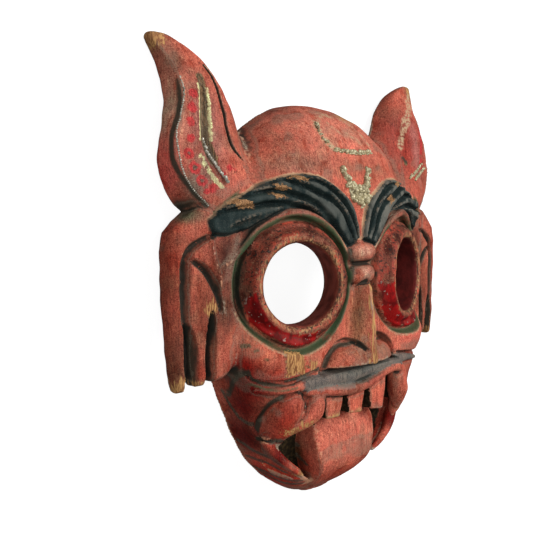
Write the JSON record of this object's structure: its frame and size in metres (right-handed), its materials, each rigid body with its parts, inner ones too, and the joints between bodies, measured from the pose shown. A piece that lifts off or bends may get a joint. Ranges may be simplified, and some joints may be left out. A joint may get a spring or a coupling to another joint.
{
  "type": "tibetan cham mask",
  "caption": "Carved wooden dance mask of a horned guardian with open round eyes, bared teeth, hanging tongue and long ears, hollow behind for the wearer's face.",
  "frame": {"origin": "the middle of the mask's outline, on the plane of its back rim", "axes": "+Z out of the face, +Y from the chin to the horns, +X to the viewer's right of the face"},
  "size_m": [0.2572, 0.2944, 0.0665],
  "materials": {
    "painted_wood": "worn coral red paint over carved wood, rubbed to ochre on the edges"
  },
  "bodies": {
    "root": {"mask": "painted_wood"}
  },
  "joints": []
}
